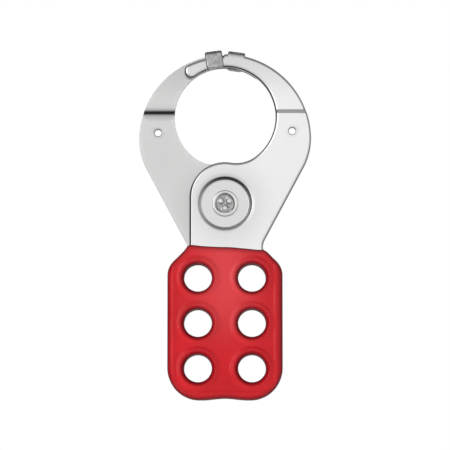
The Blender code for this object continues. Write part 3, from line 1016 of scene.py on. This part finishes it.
piece("hasp_front_plate", plate_mesh, FRONT_POSE, front_steel, "front_half", "front_plate")
piece("hasp_back_plate", plate_mesh, BACK_POSE, back_steel_painted_shade, "back_half", "back_plate")
piece("hasp_front_grip", grip_mesh, FRONT_POSE, red_vinyl, "front_half", "front_grip")
piece("hasp_back_grip", grip_mesh, BACK_POSE, red_vinyl, "back_half", "back_grip")
piece("hasp_rivet", rivet(), FRONT_POSE, rivet_steel, "pivot", "pivot_rivet")


# ---------------------------------------------------------------- stage, light and camera

# Places and sizes in metres from here on, in the frame's own axes.
FLOOR_REACH = 4.0
FLOOR_LEVEL = -0.32
LAMP_SIZE = 0.16
LAMP_ENERGY = 2.3
LAMP_TARGET = (0.0, 0.0, -0.06)
KEY_PLACE = (-0.42, -0.44, -0.08)
FILL_PLACE = (0.44, 0.42, 0.12)
CAMERA_PLACE = (0.0, -1.05, -0.150)
CAMERA_TARGET = (0.0, 0.0, -0.0408)
CAMERA_LENS = 224.0


def stage_floor():
    mesh = bpy.data.meshes.new("floor")
    signs = ((-1, -1), (1, -1), (1, 1), (-1, 1))
    corners = [(x * FLOOR_REACH, y * FLOOR_REACH, FLOOR_LEVEL) for x, y in signs]
    mesh.from_pydata(corners, [], [(0, 1, 2, 3)])
    floor = placed("floor", mesh)
    n = MaterialNodes("pale_floor")
    n.shader.inputs["Base Color"].default_value = (0.9, 0.9, 0.9, 1.0)
    n.shader.inputs["Roughness"].default_value = 0.9
    n.shader.inputs["Emission Color"].default_value = WHITE
    n.shader.inputs["Emission Strength"].default_value = 0.55
    mesh.materials.append(n.material)
    floor.visible_glossy = False


def reflections(n, x, y, z):
    """How bright a glossy surface sees the surroundings in the direction (x, y, z).

    They are bright in front and behind, with a brighter strip at the front left, and dimmer above,
    below and to the sides.
    """
    facing = n.ranged(n.math("ABSOLUTE", y), 0.30, 0.80, 0.0, 1.0, True)
    sideways = n.ranged(x, -0.5, 0.5, 0.08, 0.42, True)
    upright = n.ranged(z, -0.4, 0.5, 0.03, 0.36, True)
    x2 = n.times(x, x)
    z2 = n.times(z, z)
    total = n.sum(n.sum(x2, z2), 0.0001)
    dim = n.math("DIVIDE", n.sum(n.times(sideways, x2), n.times(upright, z2)), total)

    bright = n.times(n.ranged(z, -0.02, 0.10, 0.86, 0.97, True), n.ranged(z, 0.4, 0.6, 1.0, 0.5, True))
    strip = n.times(n.ranged(x, -0.78, -0.62, 0.0, 1.5, True), n.ranged(x, -0.5, -0.3, 1.0, 0.0, True))
    strip = n.times(strip, n.ranged(y, -0.55, -0.4, 1.0, 0.0, True))
    strip = n.times(strip, n.ranged(z, -0.25, -0.05, 0.0, 1.0, True))
    return n.blend(facing, dim, n.sum(bright, strip))


def studio_world():
    """Surroundings that are white to the camera, soft on matt surfaces and shaped in reflections."""
    world = bpy.data.worlds.new("studio")
    bpy.context.scene.world = world
    world.use_nodes = True
    world.node_tree.nodes.clear()
    n = Nodes(world.node_tree)
    coords = n.add("ShaderNodeTexCoord")
    split = n.add("ShaderNodeSeparateXYZ")
    n.link(coords.outputs["Generated"], split.inputs["Vector"])
    x, y, z = (split.outputs[axis] for axis in "XYZ")
    gloss = reflections(n, x, y, z)
    soft = n.ranged(n.math("ABSOLUTE", y), 0.1, 0.9, 0.4, 0.72, True)
    soft = n.times(soft, n.ranged(z, -1.0, 1.0, 0.75, 1.1))

    path = n.add("ShaderNodeLightPath")
    level = n.blend(path.outputs["Is Diffuse Ray"], gloss, soft)
    level = n.blend(path.outputs["Is Camera Ray"], level, 1.0)
    background = n.add("ShaderNodeBackground")
    background.inputs["Color"].default_value = WHITE
    n.link(level, background.inputs["Strength"])
    output = n.add("ShaderNodeOutputWorld")
    n.link(background.outputs["Background"], output.inputs["Surface"])


def aimed(name, data, place, target):
    """An object for a lamp's or camera's data, at its place and turned towards the target."""
    item = bpy.data.objects.new(name, data)
    item.location = place
    item.rotation_euler = (Vector(target) - Vector(place)).to_track_quat("-Z", "Y").to_euler()
    bpy.context.scene.collection.objects.link(item)
    return item


def area_light(name, place):
    data = bpy.data.lights.new(name, "AREA")
    data.shape = "DISK"
    data.size = LAMP_SIZE
    data.energy = LAMP_ENERGY
    lamp = aimed(name, data, place, LAMP_TARGET)
    lamp.visible_camera = False
    lamp.visible_glossy = False


def camera():
    data = bpy.data.cameras.new("camera")
    data.lens = CAMERA_LENS
    data.sensor_width = 36.0
    data.clip_start = 0.05
    data.clip_end = 20.0
    bpy.context.scene.camera = aimed("camera", data, CAMERA_PLACE, CAMERA_TARGET)


stage_floor()
studio_world()
area_light("key", KEY_PLACE)
area_light("fill", FILL_PLACE)
camera()
bpy.context.scene.view_settings.view_transform = "Standard"
